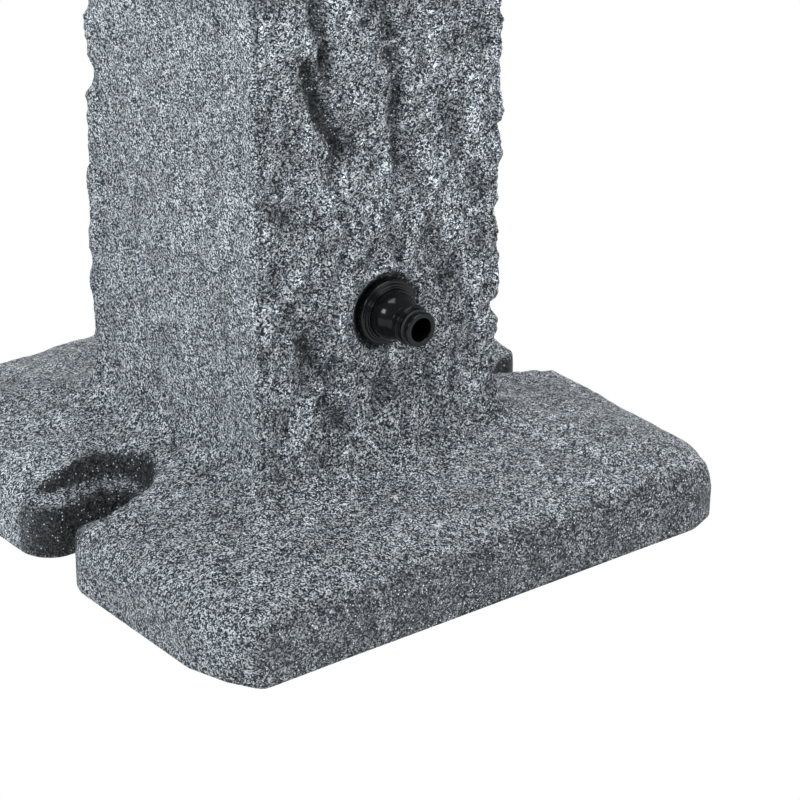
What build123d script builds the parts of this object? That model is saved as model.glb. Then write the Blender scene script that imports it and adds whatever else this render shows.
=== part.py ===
from build123d import *
import os
from math import atan2, cos, degrees, radians, sin, sqrt, tan

# Driving dimensions of the column, in millimetres
column_height = 1000.0
post_width = 130.0
foot_width = 273.0
foot_depth = 289.0
foot_rise = 62.0
shell_wall = 5.0
floor_thickness = 8.0
cap_height = 65.0
crown_height = 30.0
crown_inset = 22.0
overrun = 2.0

# Hewn finish of the stone-like faces
arris_cut = 1.0
chip_depth = 4.5
hew_depth = 5.0
foot_hew = 0.4
foot_corner = 23.0
struck_corner_width = 14.5
struck_corner_depth = 34.0
cavity_corner = 12.0
foot_cavity_corner = 32.0
post_courses = 21
cap_courses = 2
calm_reach = 36.0
calm_share = 0.3
round_share = 0.3
struck_share = 0.42
chip_shares = (0.35, 0.9, 0.5, 1.0, 0.2, 0.7, 0.45, 0.85, 0.3, 0.6, 0.95)
# Hollows at four places across a face, course by course, and how strong each face has them
hew_shares = (
    (0.8, 0.35, 0.3, 0.5), (0.9, 0.3, 0.35, 0.4), (0.45, 0.1, 0.35, 0.75),
    (0.1, 0.95, 0.85, 0.3), (0.6, 0.75, 0.1, 0.6), (1.0, 0.2, 0.5, 0.15),
    (0.55, 0.1, 0.8, 0.35), (0.2, 0.85, 0.25, 0.9), (0.75, 0.4, 0.05, 0.5),
)
face_shares = (1.0, 0.8, 0.8, 0.3)
place_shares = (0.62, 0.22, -0.22, -0.62)
sway_shares = (0.0, 0.08, -0.07, 0.05, -0.09)
# Height over the ground and way inwards from the foot's edge to the post's face
foot_profile_shares = (
    (0.0, 0.0), (0.28, 0.0), (0.37, 0.02), (0.435, 0.06), (0.476, 0.12),
    (0.55, 0.32), (0.62, 0.68), (0.70, 0.88), (0.81, 0.97), (1.0, 1.0),
)
crown_profile_shares = ((0.45, 0.12), (0.8, 0.4), (1.0, 1.0))

# Peg slots in the foot's left and right sides
slot_width = 13.5
slot_shift = 3.5
slot_reach = 43.5
slot_draft_angle = 7.0
pocket_width = 43.0
pocket_shift = 2.0
pocket_reach = 52.5
ledge_height = 24.5
near_mouth_radius = 21.0
far_mouth_radius = 16.0
pocket_mouth_radius = 9.0

# Access opening under the foot and its cover
opening_width = 96.0
opening_corner = 8.0
cover_rim = 10.0
cover_corner = 4.0
cover_thickness = 3.0
cover_gap = 0.4
cover_boss = 10.0
cover_boss_height = 8.0
cover_screw = 4.0
cover_screw_head = 7.6
cover_screw_length = 11.0
cover_screw_tip_gap = 1.5
cover_screw_sink = 0.3
drive_width = 2.2
drive_depth = 1.2

# Cap skirt and its screws
skirt_length = 25.0
skirt_wall = 5.0
skirt_gap = 0.4
skirt_boss_width = 14.0
skirt_boss_depth = 5.0
cap_screw_spread = 60.0
cap_screw = 4.0
cap_screw_hole = 4.6
cap_screw_head = 8.5
cap_screw_head_height = 2.8
cap_screw_recess = 11.0
cap_screw_recess_depth = 3.5
cap_screw_length = 13.0
crown_wall = 7.0

# Water line: a little to one side of the post's axis
line_shift = -2.5
inlet_height = 108.7
tap_drop = 140.0
fitting_wall = 9.5
fitting_pad = 48.0
water_bore = 11.0
hose_bore = 13.0
hose_wall = 3.0
barb_length = 30.0
barb_count = 5
barb_depth = 0.6
barb_shoulder = 14.0
barb_bore = 9.0
elbow_body = 19.0

# Push-on tip that hose connectors take
tip_width = 15.8
tip_bore = 10.6
tip_chamfer = 0.7
tip_land = 2.8
tip_rear_land = 1.2
ring_cord = 2.0
ring_groove_width = 2.5
ring_sink = 0.02
collar_width = 18.0
collar_length = 1.4
neck_width = 13.8
neck_length = 2.5

# Inlet spigot
inlet_reach = 24.0
inlet_recess = 5.0
inlet_recess_width = 36.0
inlet_flange = 30.0
inlet_flange_length = 4.5
inlet_step = 26.6
inlet_step_length = 1.0
inlet_ridge = 24.6
inlet_ridge_length = 0.9
dome_width = 23.2
dome_blend = 2.0
flange_chamfer = 0.6
inlet_shank = 20.8
inlet_shank_bore = 11.0
shank_clearance = 0.6
inlet_gasket_thickness = 1.5
inlet_washer_width = 34.0
inlet_washer_thickness = 2.0
inlet_nut_flats = 30.0
inlet_nut_length = 8.0
inlet_nut_gap = 2.5
elbow_engagement = 12.0
elbow_floor = 3.0
elbow_socket = 27.0
elbow_reach = 10.5

# Bulkhead fitting behind the tap
tap_seat_depth = 2.5
tap_seat_width = 62.0
bulkhead_shank = 26.4
bulkhead_flange = 38.0
bulkhead_flange_length = 3.0
bulkhead_stand = 7.5
bulkhead_reach = 17.5
tap_gasket_thickness = 1.5
lock_nut_flats = 34.0
lock_nut_length = 5.0
rosette_width = 58.0
rosette_depth = 9.0
rosette_wall = 1.3
rosette_side = 2.5
rosette_mouth = 24.6

# Ball tap
tail_thread = 20.8
tail_engagement = 11.0
tail_collar = 24.0
tail_collar_length = 2.5
tail_hex = 27.0
tail_hex_length = 7.0
union_thread = 26.0
union_length = 7.5
ball_width = 22.0
ball_bore = 12.0
ball_slot_width = 3.2
ball_slot_depth = 3.5
ball_standoff = 10.0
seat_mouth = 14.0
seat_width = 22.6
seat_length = 4.5
running_gap = 0.05
chamber_bore = 23.2
chamber_width = 36.0
chamber_shoulder = 3.0
chamber_chamfer = 1.5
chamber_nose = 7.0
spout_width = 21.0
spout_bore = 13.0
spout_lead = 12.0
spout_radius = 14.0
outlet_thread = 26.4
outlet_drop = 38.0
outlet_thread_length = 12.0
outlet_collar = 24.0
outlet_collar_length = 5.0

# Stem and its packing
stem_width = 8.0
stem_flats = 6.5
stem_flange = 11.0
stem_flange_length = 2.0
stem_flange_height = 12.0
stem_part_gap = 0.3
stem_tang_width = 3.0
stem_tang_length = 8.0
stem_tang_gap = 0.2
stem_boss = 20.0
stem_boss_height = 30.0
packing_width = 13.0
packing_depth = 10.0
packing_length = 5.0
gland_flats = 17.0
gland_head = 5.0
stop_inner = 22.6
stop_outer = 28.0
stop_width = 5.0
stop_base_height = 22.0
stop_angle = 110.0
stop_clearance_angle = 2.5
quarter_turn = 90.0

# Lever
lever_gap = 0.6
lever_thickness = 3.0
lever_hub = 28.0
lever_notch = 21.6
lever_width = 12.0
lever_length = 76.0
lever_flat = 24.0
lever_crank = 15.0
lever_lift = 9.0
lever_bend = 5.0
stop_head = 1.0
stop_arm_height = 4.0
stem_thread = 6.0
lever_nut_flats = 10.0
lever_nut_length = 5.0
stem_end = 1.5
grip_width = 18.0
grip_height = 9.0
grip_length = 36.0
grip_overhang = 5.0
grip_gap = 0.1
grip_round = 3.5
grip_end_round = 2.0

# Hose connector under the spout
outlet_nut = 32.0
outlet_nut_length = 17.0
outlet_gap = 0.6
outlet_shoulder_length = 5.0
outlet_shoulder = 20.0
outlet_washer_thickness = 2.0
outlet_rib_width = 2.0
outlet_washer_bore = 15.0
outlet_nut_chamfer = 1.0
outlet_rib_count = 12

# Hose clamps
clamp_width = 9.0
clamp_band = 0.8
clamp_seat = 10.0
clamp_housing_length = 12.0
clamp_housing_height = 7.0
clamp_screw = 4.5
clamp_screw_length = 16.0
clamp_head = 7.0
clamp_head_length = 4.0

# Riser hose
riser_lead = 90.0
riser_arc_share = 0.45

post_half = post_width / 2
foot_half_x = foot_width / 2
foot_half_y = foot_depth / 2
mouth_height = column_height - cap_height
cavity_half = post_half - hew_depth - shell_wall
tap_height = column_height - tap_drop
tip_radius = tip_width / 2
neck_radius = neck_width / 2
hose_width = hose_bore + 2 * hose_wall
corner_signs = ((1, 1), (-1, 1), (-1, -1), (1, -1))

inlet_seat = post_half - inlet_recess
inlet_inner = inlet_seat - fitting_wall
inlet_back = inlet_seat + inlet_gasket_thickness
inlet_nut_end = inlet_inner - inlet_washer_thickness - inlet_nut_length
inlet_shank_end = inlet_nut_end - inlet_nut_gap - elbow_engagement
inlet_leg = inlet_shank_end - elbow_reach

tap_seat = post_half - tap_seat_depth
tap_inner = tap_seat - fitting_wall
bulkhead_end = tap_seat + bulkhead_stand
bulkhead_leg = tap_inner - tap_gasket_thickness - bulkhead_flange_length - bulkhead_reach
tail_start = bulkhead_end - tail_engagement
tail_hex_start = bulkhead_end + tail_collar_length
body_start = tail_hex_start + tail_hex_length
ball_reach = body_start + union_length + ball_standoff
outlet_reach = ball_reach + spout_lead + spout_radius
outlet_end = tap_height - outlet_drop
inlet_end = post_half + inlet_reach
cap_screw_seat = post_half - cap_screw_recess_depth
cap_screw_height = mouth_height - skirt_length / 2
stem_hole = stem_width + 2 * running_gap
lever_base = stem_boss_height + gland_head + lever_gap
lever_top = lever_base + lever_thickness

# Planes whose Z axis leaves the post through its rear and front faces
rear = Plane(origin=(line_shift, 0, inlet_height), x_dir=(-1, 0, 0), z_dir=(0, 1, 0))
front = Plane(origin=(line_shift, 0, tap_height), x_dir=(1, 0, 0), z_dir=(0, -1, 0))
# Planes for turned outlines: X runs along the axis and Y away from it
rear_turning = Plane(origin=(line_shift, 0, inlet_height), x_dir=(0, 1, 0), z_dir=(1, 0, 0))
front_turning = Plane(origin=(line_shift, 0, tap_height), x_dir=(0, -1, 0), z_dir=(-1, 0, 0))
stem_turning = Plane(
    origin=(line_shift, -ball_reach, tap_height), x_dir=(0, 0, 1), z_dir=(0, 1, 0)
)
stem_up = Plane(origin=(line_shift, -ball_reach, tap_height))
outlet_turning = Plane(
    origin=(line_shift, -outlet_reach, outlet_end), x_dir=(0, 0, -1), z_dir=(0, -1, 0)
)


def level_plane(height, along=0, across=0):
    """A horizontal plane at one height over a point of the plan."""
    return Plane(origin=(across, along, height))


def turn(plane, outline, mode=Mode.ADD):
    """Revolve a closed outline of (distance, radius) points about a plane's X axis."""
    with BuildSketch(plane) as profile:
        with BuildLine():
            Polyline(*outline, close=True)
        make_face()
    revolve(profile.sketch, axis=Axis(plane.origin, plane.x_dir), mode=mode)


def disc(plane, start, length, width, mode=Mode.ADD):
    """A round bar or hole along a plane's normal."""
    with BuildSketch(plane.offset(start)) as section:
        Circle(width / 2)
    extrude(section.sketch, amount=length, mode=mode)


def ring(plane, start, length, width, bore):
    """A flat washer or a tube along a plane's normal."""
    with BuildSketch(plane.offset(start)) as section:
        Circle(width / 2)
        Circle(bore / 2, mode=Mode.SUBTRACT)
    extrude(section.sketch, amount=length)


def nut(plane, start, length, flats, bore):
    """A hexagonal nut along a plane's normal."""
    with BuildSketch(plane.offset(start)) as section:
        RegularPolygon(flats / 2, 6, major_radius=False)
        Circle(bore / 2, mode=Mode.SUBTRACT)
    extrude(section.sketch, amount=length)


def hewn_points(half_x, half_y, cuts, hews, sway=0):
    """Outline of one course: three points at each corner and four in each face."""
    points = []
    for (sign_x, sign_y), (cut_x, cut_y, share), hew in zip(corner_signs, cuts, hews):
        side = (sign_x * half_x, sign_y * (half_y - cut_y))
        middle = (sign_x * (half_x - share * cut_x), sign_y * (half_y - share * cut_y))
        end = (sign_x * (half_x - cut_x), sign_y * half_y)
        places = [place + sway for place in place_shares]
        if sign_x * sign_y > 0:
            points += [side, middle, end]
            points += [
                (sign_x * place * half_x, sign_y * (half_y - depth))
                for place, depth in zip(places, hew)
            ]
        else:
            points += [end, middle, side]
            points += [
                (sign_x * (half_x - depth), sign_y * place * half_y)
                for place, depth in zip(places, hew)
            ]
    return points


def course_height(course):
    """Height over the ground of one course of the post."""
    return foot_rise + (mouth_height - foot_rise) * course / post_courses


def course_cuts(course):
    """Corner chips of one course of the post."""
    depths = [
        arris_cut + chip_depth * chip_shares[(4 * course + 3 * corner) % len(chip_shares)]
        for corner in range(4)
    ]
    return [(depth, depth, round_share) for depth in depths]


def course_hews(course):
    """Hollows in the four faces of one course, shallow beside the fittings."""
    seats = (inlet_height, tap_height, cap_screw_height)
    away = min(abs(course_height(course) - seat) for seat in seats)
    depth = hew_depth * (calm_share if away < calm_reach else 1)
    return [
        [depth * face * share for share in hew_shares[(course + 4 * side) % len(hew_shares)]]
        for side, face in enumerate(face_shares)
    ]


def course_sway(course):
    """How far a course's hollows are moved along its faces."""
    return sway_shares[course % len(sway_shares)]


def foot_course(blend):
    """Half sizes, corner cuts and face hollows between the foot's edge and the post."""
    half_x = foot_half_x + blend * (post_half - foot_half_x)
    half_y = foot_half_y + blend * (post_half - foot_half_y)
    foot_cuts = [(struck_corner_width, struck_corner_depth, struck_share)]
    foot_cuts += [(foot_corner, foot_corner, round_share)] * 3
    cuts = [
        tuple(foot + blend * (post - foot) for foot, post in zip(foot_cut, post_cut))
        for foot_cut, post_cut in zip(foot_cuts, course_cuts(0))
    ]
    strength = (foot_hew + blend * (hew_depth - foot_hew)) / hew_depth
    hews = [[depth * strength for depth in hew] for hew in course_hews(0)]
    return half_x, half_y, cuts, hews


def course_face(height, half_x, half_y, cuts, hews, sway=0):
    """One horizontal course of the stone-like outline."""
    with BuildSketch(level_plane(height)) as course:
        with BuildLine():
            Polyline(*hewn_points(half_x, half_y, cuts, hews, sway), close=True)
        make_face()
    return course.sketch


def plain_face(height, half_x, half_y, corner=cavity_corner):
    """One course of the space inside, with flat sides."""
    corner_cuts = [(corner, corner, round_share)] * 4
    flat = [0] * len(place_shares)
    return course_face(height, half_x, half_y, corner_cuts, [flat] * 4)


def post_course(height, course, inset=0):
    """A course of the post, drawn in by the inset."""
    half = post_half - inset
    return course_face(
        height, half, half, course_cuts(course), course_hews(course), course_sway(course)
    )


def slot_plan(height, width, reach, shift, side):
    """Plan of an open slot with a round inner end, on the side +1 or -1."""
    end = side * (foot_half_x - reach + width / 2)
    far = side * (foot_half_x + overrun)
    with BuildSketch(level_plane(height, along=shift)) as plan:
        with Locations(((end + far) / 2, 0)):
            Rectangle(abs(far - end), width)
        with Locations((end, 0)):
            Circle(width / 2)
    return plan.sketch


def mouth_plan(height, width, near_radius, far_radius, shift, side):
    """Plan of the flare that rounds a slot's two mouth corners."""
    mouth = side * foot_half_x
    with BuildSketch(level_plane(height, along=shift)) as plan:
        for way, radius in ((1, near_radius), (-1, far_radius)):
            edge = way * width / 2
            with Locations((mouth - side * (radius - overrun) / 2, edge + way * radius / 2)):
                Rectangle(radius + overrun, radius)
            with Locations((mouth - side * radius, edge + way * radius)):
                Circle(radius, mode=Mode.SUBTRACT)
    return plan.sketch


def barb_points(start, root, crest, length, count):
    """Saw-tooth outline of a hose barb, with its teeth facing back to the start."""
    pitch = length / count
    points = []
    for tooth in range(count):
        points += [(start + tooth * pitch, crest), (start + (tooth + 1) * pitch, root)]
    return points


def tip_points(end):
    """Outline of the push-on tip, from its end back to the neck."""
    groove_front = end - tip_land
    groove_back = groove_front - ring_groove_width
    collar_front = groove_back - tip_rear_land
    collar_back = collar_front - collar_length
    groove_floor = tip_radius - ring_sink - ring_cord
    return [
        (end, tip_bore / 2),
        (end, tip_radius - tip_chamfer),
        (end - tip_chamfer, tip_radius),
        (groove_front, tip_radius),
        (groove_front, groove_floor),
        (groove_back, groove_floor),
        (groove_back, tip_radius),
        (collar_front, tip_radius),
        (collar_front, collar_width / 2),
        (collar_back, collar_width / 2),
        (collar_back, neck_radius),
        (collar_back - neck_length, neck_radius),
    ]


def tip_ring(plane, end):
    """The O-ring that lies in the tip's groove."""
    middle = end - tip_land - ring_groove_width / 2
    with BuildSketch(plane) as section:
        with Locations((middle, tip_radius - ring_sink - ring_cord / 2)):
            Circle(ring_cord / 2)
    revolve(section.sketch, axis=Axis(plane.origin, plane.x_dir))


def barbed_leg(plane):
    """A round leg that ends in a hose barb, along a plane's normal."""
    disc(plane, 0, barb_shoulder, elbow_body)
    turning = Plane(origin=plane.origin, x_dir=plane.z_dir, z_dir=plane.x_dir)
    crest = hose_bore / 2
    teeth = barb_points(barb_shoulder, crest - barb_depth, crest, barb_length, barb_count)
    turn(turning, [(0, 0), (0, barb_bore / 2), (barb_shoulder, barb_bore / 2)] + teeth + [
        (barb_shoulder + barb_length, 0)
    ])


def cap_screw_discs(start, length, width, mode=Mode.ADD):
    """Round bars or holes at the four cap screws, out from the post's axis."""
    for side in (1, -1):
        outwards = Plane(
            origin=(0, 0, cap_screw_height), x_dir=(0, side, 0), z_dir=(side, 0, 0)
        )
        with BuildSketch(outwards.offset(start)) as section:
            with Locations((cap_screw_spread / 2, 0), (-cap_screw_spread / 2, 0)):
                Circle(width / 2)
        extrude(section.sketch, amount=length, mode=mode)


def clamp_screw_plane(height, reach):
    """Plane across a clamp's screw, at the middle of its housing."""
    middle = (line_shift + housing_middle, reach, height + clamp_width / 2)
    return Plane(origin=middle, x_dir=(1, 0, 0), z_dir=(0, -1, 0))


def clamp(height, reach):
    """A clamp's band round the hose with the housing of its screw."""
    band_plane = level_plane(height, along=reach, across=line_shift)
    ring(band_plane, 0, clamp_width, hose_width + 2 * clamp_band, hose_width)
    with BuildSketch(band_plane) as housing:
        with Locations((housing_middle - clamp_band / 2, 0)):
            Rectangle(clamp_housing_height + clamp_band, clamp_housing_length)
        Circle(hose_width / 2, mode=Mode.SUBTRACT)
    extrude(housing.sketch, amount=clamp_width)
    along_screw = clamp_screw_plane(height, reach)
    disc(
        along_screw,
        -clamp_housing_length / 2,
        clamp_housing_length,
        clamp_screw,
        mode=Mode.SUBTRACT,
    )


tip_length = (
    tip_land + ring_groove_width + tip_rear_land + collar_length + neck_length
)

os.makedirs("parts", exist_ok=True)

# Space inside the moulding: the foot's and the post's, round the slots
with BuildPart() as cavity:
    levels = []
    for height_share, blend in foot_profile_shares:
        half_x, half_y = foot_course(blend)[:2]
        height = max(floor_thickness, height_share * foot_rise - shell_wall)
        inset = shell_wall + blend * hew_depth
        if height > floor_thickness or height_share == 0:
            corner = foot_cavity_corner + blend * (cavity_corner - foot_cavity_corner)
            levels.append(plain_face(height, half_x - inset, half_y - inset, corner))
    levels.append(plain_face(mouth_height + overrun, cavity_half, cavity_half))
    loft(levels, ruled=True)
    for side in (1, -1):
        keep_out = slot_plan(
            0, pocket_width + 2 * shell_wall, pocket_reach + shell_wall, pocket_shift, side
        )
        extrude(keep_out, amount=foot_rise, mode=Mode.SUBTRACT)

# Post and foot, moulded in one piece with a hewn stone surface
with BuildPart() as column_shell:
    levels = [
        course_face(height_share * foot_rise, *foot_course(blend))
        for height_share, blend in foot_profile_shares
    ]
    for course in range(1, post_courses + 1):
        levels.append(post_course(course_height(course), course))
    loft(levels, ruled=True)
    add(cavity.part, mode=Mode.SUBTRACT)
    disc(rear, inlet_inner, cavity_half + overrun - inlet_inner, fitting_pad)
    disc(front, tap_inner, cavity_half + overrun - tap_inner, fitting_pad)
    boss_spread = opening_width + cover_rim
    with BuildSketch(level_plane(cover_thickness)):
        with GridLocations(boss_spread, boss_spread, 2, 2):
            Circle(cover_boss / 2)
    extrude(amount=floor_thickness - cover_thickness + cover_boss_height)
    with BuildSketch(level_plane(0)):
        rebate_width = opening_width + 2 * cover_rim
        RectangleRounded(rebate_width, rebate_width, cover_corner)
    extrude(amount=cover_thickness, mode=Mode.SUBTRACT)
    with BuildSketch(level_plane(0)):
        RectangleRounded(opening_width, opening_width, opening_corner)
    extrude(amount=floor_thickness, mode=Mode.SUBTRACT)
    for side in (1, -1):
        slot = slot_plan(0, slot_width, slot_reach, slot_shift, side)
        extrude(slot, amount=foot_rise, taper=-slot_draft_angle, mode=Mode.SUBTRACT)
        mouth = mouth_plan(0, slot_width, near_mouth_radius, far_mouth_radius, slot_shift, side)
        extrude(mouth, amount=foot_rise, mode=Mode.SUBTRACT)
        pocket = slot_plan(ledge_height, pocket_width, pocket_reach, pocket_shift, side)
        extrude(pocket, amount=foot_rise, mode=Mode.SUBTRACT)
        pocket_mouth = mouth_plan(
            ledge_height,
            pocket_width,
            pocket_mouth_radius,
            pocket_mouth_radius,
            pocket_shift,
            side,
        )
        extrude(pocket_mouth, amount=foot_rise, mode=Mode.SUBTRACT)
    disc(rear, inlet_seat, inlet_recess + overrun, inlet_recess_width, mode=Mode.SUBTRACT)
    inlet_hole = inlet_shank + shank_clearance
    disc(rear, inlet_inner - overrun, fitting_wall + 2 * overrun, inlet_hole, mode=Mode.SUBTRACT)
    disc(front, tap_seat, tap_seat_depth + overrun, tap_seat_width, mode=Mode.SUBTRACT)
    tap_hole = bulkhead_shank + shank_clearance
    disc(front, tap_inner - overrun, fitting_wall + 2 * overrun, tap_hole, mode=Mode.SUBTRACT)
    cap_screw_discs(
        cap_screw_seat, cap_screw_recess_depth + overrun, cap_screw_recess, mode=Mode.SUBTRACT
    )
    cap_screw_discs(
        cavity_half - overrun,
        cap_screw_seat - cavity_half + 2 * overrun,
        cap_screw_hole,
        mode=Mode.SUBTRACT,
    )
    with BuildSketch(level_plane(cover_thickness)):
        with GridLocations(boss_spread, boss_spread, 2, 2):
            Circle(cover_screw / 2)
    extrude(amount=cover_screw_length - cover_thickness + cover_screw_tip_gap, mode=Mode.SUBTRACT)
column_shell.part.label = "column_shell"
export_step(column_shell.part, "parts/column_shell.step")

# Cap with a skirt that plugs into the post's mouth
with BuildPart() as top_cap:
    levels = [post_course(mouth_height, post_courses)]
    cap_side = cap_height - crown_height
    for course in range(1, cap_courses + 1):
        height = mouth_height + cap_side * course / cap_courses
        levels.append(post_course(height, post_courses + course))
    for height_share, inset_share in crown_profile_shares:
        height = column_height - crown_height * (1 - height_share)
        levels.append(
            post_course(height, post_courses + cap_courses, crown_inset * inset_share)
        )
    loft(levels, ruled=True)
    skirt_half = cavity_half - skirt_gap
    hollow_half = skirt_half - skirt_wall
    crown_half = post_half - crown_inset - crown_wall
    skirt_start = mouth_height - skirt_length
    skirt = plain_face(skirt_start, skirt_half, skirt_half)
    extrude(skirt, amount=skirt_length)
    hollow = [
        plain_face(height, half, half)
        for height, half in (
            (skirt_start, hollow_half),
            (mouth_height + cap_side, hollow_half),
            (column_height - crown_wall, crown_half),
        )
    ]
    loft(hollow, ruled=True, mode=Mode.SUBTRACT)
    with BuildSketch(level_plane(skirt_start)):
        with GridLocations(2 * hollow_half - skirt_boss_depth, cap_screw_spread, 2, 2):
            Rectangle(skirt_boss_depth, skirt_boss_width)
    extrude(amount=skirt_length)
    pilot_start = hollow_half - skirt_boss_depth - overrun
    cap_screw_discs(pilot_start, skirt_half - pilot_start + overrun, cap_screw, mode=Mode.SUBTRACT)
top_cap.part.label = "top_cap"
export_step(top_cap.part, "parts/top_cap.step")

# Four screws through the shell into the cap's skirt
with BuildPart() as cap_screws:
    cap_screw_discs(cap_screw_seat - cap_screw_length, cap_screw_length, cap_screw)
    cap_screw_discs(cap_screw_seat, cap_screw_head_height, cap_screw_head)
    cap_screw_discs(
        cap_screw_seat + cap_screw_head_height - drive_depth,
        drive_depth,
        drive_width,
        mode=Mode.SUBTRACT,
    )
cap_screws.part.label = "cap_screws"
export_step(cap_screws.part, "parts/cap_screws.step")

# Flush cover of the access opening under the foot
with BuildPart() as base_cover:
    with BuildSketch(level_plane(0)):
        cover_width = opening_width + 2 * cover_rim - cover_gap
        RectangleRounded(cover_width, cover_width, cover_corner)
    extrude(amount=cover_thickness)
    with Locations(Plane(origin=(0, 0, 0), z_dir=(0, 0, -1))):
        with GridLocations(boss_spread, boss_spread, 2, 2):
            CounterSinkHole(
                cover_screw / 2, cover_screw_head / 2, cover_thickness, counter_sink_angle=90
            )
base_cover.part.label = "base_cover"
export_step(base_cover.part, "parts/base_cover.step")

# Four countersunk screws that hold the cover
with BuildPart() as base_cover_screws:
    with GridLocations(boss_spread, boss_spread, 2, 2):
        with Locations((0, 0, cover_screw_sink)):
            upright = (Align.CENTER, Align.CENTER, Align.MIN)
            cone_length = (cover_screw_head - cover_screw) / 2 - cover_screw_sink
            cone_radius = cover_screw_head / 2 - cover_screw_sink
            Cone(cone_radius, cover_screw / 2, cone_length, align=upright)
            Cylinder(cover_screw / 2, cover_screw_length - cover_screw_sink, align=upright)
            Cylinder(drive_width / 2, drive_depth, align=upright, mode=Mode.SUBTRACT)
base_cover_screws.part.label = "base_cover_screws"
export_step(base_cover_screws.part, "parts/base_cover_screws.step")

# Black spigot at the foot of the rear face, turned about its own axis
with BuildPart() as inlet_connector:
    step_start = inlet_back + inlet_flange_length
    ridge_start = step_start + inlet_step_length
    dome_start = ridge_start + inlet_ridge_length
    dome_radius = dome_width / 2
    dome_angle = atan2(neck_radius, sqrt(dome_radius**2 - neck_radius**2))
    middle_angle = (dome_angle + radians(90)) / 2
    with BuildSketch(rear_turning):
        with BuildLine():
            tip = Polyline(*tip_points(inlet_end))
            neck = Line(tip @ 1, (dome_start + dome_radius * cos(dome_angle), neck_radius))
            dome = ThreePointArc(
                neck @ 1,
                (
                    dome_start + dome_radius * cos(middle_angle),
                    dome_radius * sin(middle_angle),
                ),
                (dome_start, dome_radius),
            )
            Polyline(
                dome @ 1,
                (dome_start, inlet_ridge / 2),
                (ridge_start, inlet_ridge / 2),
                (ridge_start, inlet_step / 2),
                (step_start, inlet_step / 2),
                (step_start, inlet_flange / 2 - flange_chamfer),
                (step_start - flange_chamfer, inlet_flange / 2),
                (inlet_back, inlet_flange / 2),
                (inlet_back, inlet_shank / 2),
                (inlet_shank_end, inlet_shank / 2),
                (inlet_shank_end, inlet_shank_bore / 2),
                (inlet_back, inlet_shank_bore / 2),
                (inlet_back, tip_bore / 2),
                tip @ 0,
            )
        make_face()
    revolve(axis=Axis(rear_turning.origin, rear_turning.x_dir))
    neck_circles = inlet_connector.edges().filter_by(
        lambda edge: edge.geom_type == GeomType.CIRCLE and abs(edge.radius - neck_radius) < ring_sink
    )
    fillet(neck_circles.sort_by(Axis.Y)[0], dome_blend)
inlet_connector.part.label = "inlet_connector"
export_step(inlet_connector.part, "parts/inlet_connector.step")

with BuildPart() as inlet_oring:
    tip_ring(rear_turning, inlet_end)
inlet_oring.part.label = "inlet_oring"
export_step(inlet_oring.part, "parts/inlet_oring.step")

with BuildPart() as inlet_gasket:
    ring(rear, inlet_seat, inlet_gasket_thickness, inlet_flange, inlet_hole)
inlet_gasket.part.label = "inlet_gasket"
export_step(inlet_gasket.part, "parts/inlet_gasket.step")

with BuildPart() as inlet_washer:
    washer_start = inlet_inner - inlet_washer_thickness
    ring(rear, washer_start, inlet_washer_thickness, inlet_washer_width, inlet_hole)
inlet_washer.part.label = "inlet_washer"
export_step(inlet_washer.part, "parts/inlet_washer.step")

with BuildPart() as inlet_lock_nut:
    nut(rear, inlet_nut_end, inlet_nut_length, inlet_nut_flats, inlet_shank)
inlet_lock_nut.part.label = "inlet_lock_nut"
export_step(inlet_lock_nut.part, "parts/inlet_lock_nut.step")

# Elbow that turns the water up into the riser
inlet_corner = (line_shift, inlet_leg, inlet_height)
with BuildPart() as inlet_elbow:
    socket_start = inlet_shank_end - elbow_floor
    disc(rear, socket_start, elbow_engagement + elbow_floor, elbow_socket)
    disc(rear, inlet_leg, elbow_reach, elbow_body)
    with Locations(inlet_corner):
        Sphere(elbow_body / 2)
    barbed_leg(Plane(origin=inlet_corner))
    disc(rear, inlet_shank_end, elbow_engagement + overrun, inlet_shank, mode=Mode.SUBTRACT)
    disc(rear, inlet_leg, elbow_reach, water_bore, mode=Mode.SUBTRACT)
    with Locations(inlet_corner):
        Sphere(water_bore / 2, mode=Mode.SUBTRACT)
    leg_length = barb_shoulder + barb_length + overrun
    disc(Plane(origin=inlet_corner), 0, leg_length, barb_bore, mode=Mode.SUBTRACT)
inlet_elbow.part.label = "inlet_elbow"
export_step(inlet_elbow.part, "parts/inlet_elbow.step")

# Bulkhead fitting that carries the tap and turns the riser's water outwards
bulkhead_corner = (line_shift, -bulkhead_leg, tap_height)
with BuildPart() as tap_bulkhead:
    flange_start = tap_inner - tap_gasket_thickness - bulkhead_flange_length
    disc(front, flange_start, bulkhead_flange_length, bulkhead_flange)
    disc(front, flange_start, bulkhead_end - flange_start, bulkhead_shank)
    disc(front, bulkhead_leg, bulkhead_reach, elbow_body)
    with Locations(bulkhead_corner):
        Sphere(elbow_body / 2)
    downwards = Plane(origin=bulkhead_corner, x_dir=(1, 0, 0), z_dir=(0, 0, -1))
    barbed_leg(downwards)
    disc(front, tail_start, tail_engagement + overrun, tail_thread, mode=Mode.SUBTRACT)
    disc(front, bulkhead_leg, tail_start - bulkhead_leg, water_bore, mode=Mode.SUBTRACT)
    with Locations(bulkhead_corner):
        Sphere(water_bore / 2, mode=Mode.SUBTRACT)
    disc(downwards, 0, leg_length, barb_bore, mode=Mode.SUBTRACT)
tap_bulkhead.part.label = "tap_bulkhead"
export_step(tap_bulkhead.part, "parts/tap_bulkhead.step")

with BuildPart() as tap_gasket:
    gasket_start = tap_inner - tap_gasket_thickness
    ring(front, gasket_start, tap_gasket_thickness, bulkhead_flange, tap_hole)
tap_gasket.part.label = "tap_gasket"
export_step(tap_gasket.part, "parts/tap_gasket.step")

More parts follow.
